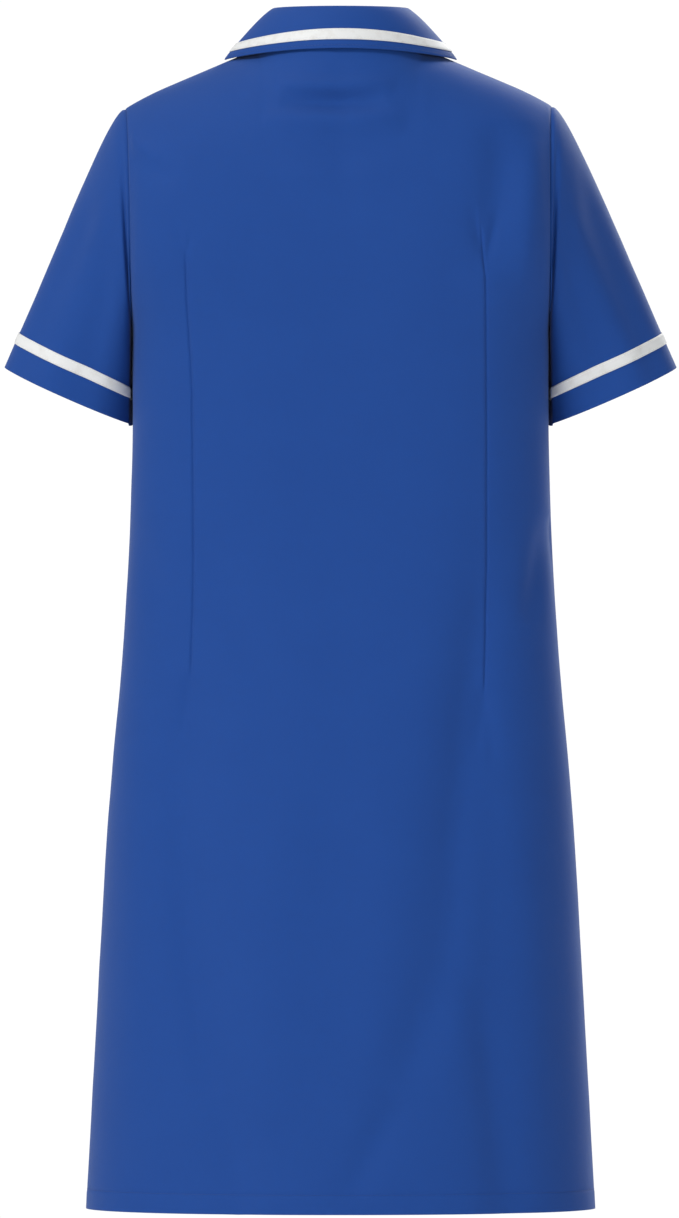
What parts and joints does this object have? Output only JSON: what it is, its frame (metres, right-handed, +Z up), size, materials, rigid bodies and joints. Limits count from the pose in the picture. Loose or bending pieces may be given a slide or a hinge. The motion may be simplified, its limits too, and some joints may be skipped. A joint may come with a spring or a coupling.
{
  "type": "nurse uniform dress",
  "caption": "Short-sleeved A-line uniform dress with a turned-down collar, tape on collar and sleeves and a buttoned front, filled out as worn.",
  "frame": {"origin": "midway between the neck points of the two shoulder seams, where the wearer's shoulders hold the dress up", "axes": "+Z up, +Y the way the wearer faces (out of the buttoned front), +X the wearer's right"},
  "size_m": [0.5866, 0.298, 1.0464],
  "materials": {
    "cloth": "royal blue poly-cotton twill, matt with a soft sheen, lightly creased",
    "tape": "white woven tape, matt, edge-stitched",
    "button": "plain white four-hole buttons, semi-gloss"
  },
  "bodies": {
    "root": {"back_panel": "cloth", "front_left": "cloth", "front_right": "cloth", "sleeve_left": "cloth", "sleeve_right": "cloth", "collar_fall": "cloth", "collar_stand": "cloth", "collar_trim": "tape", "sleeve_trim_left": "tape", "sleeve_trim_right": "tape", "button_1": "button", "button_2": "button", "button_3": "button", "button_4": "button", "button_5": "button", "button_6": "button", "button_7": "button", "button_8": "button"}
  },
  "joints": []
}
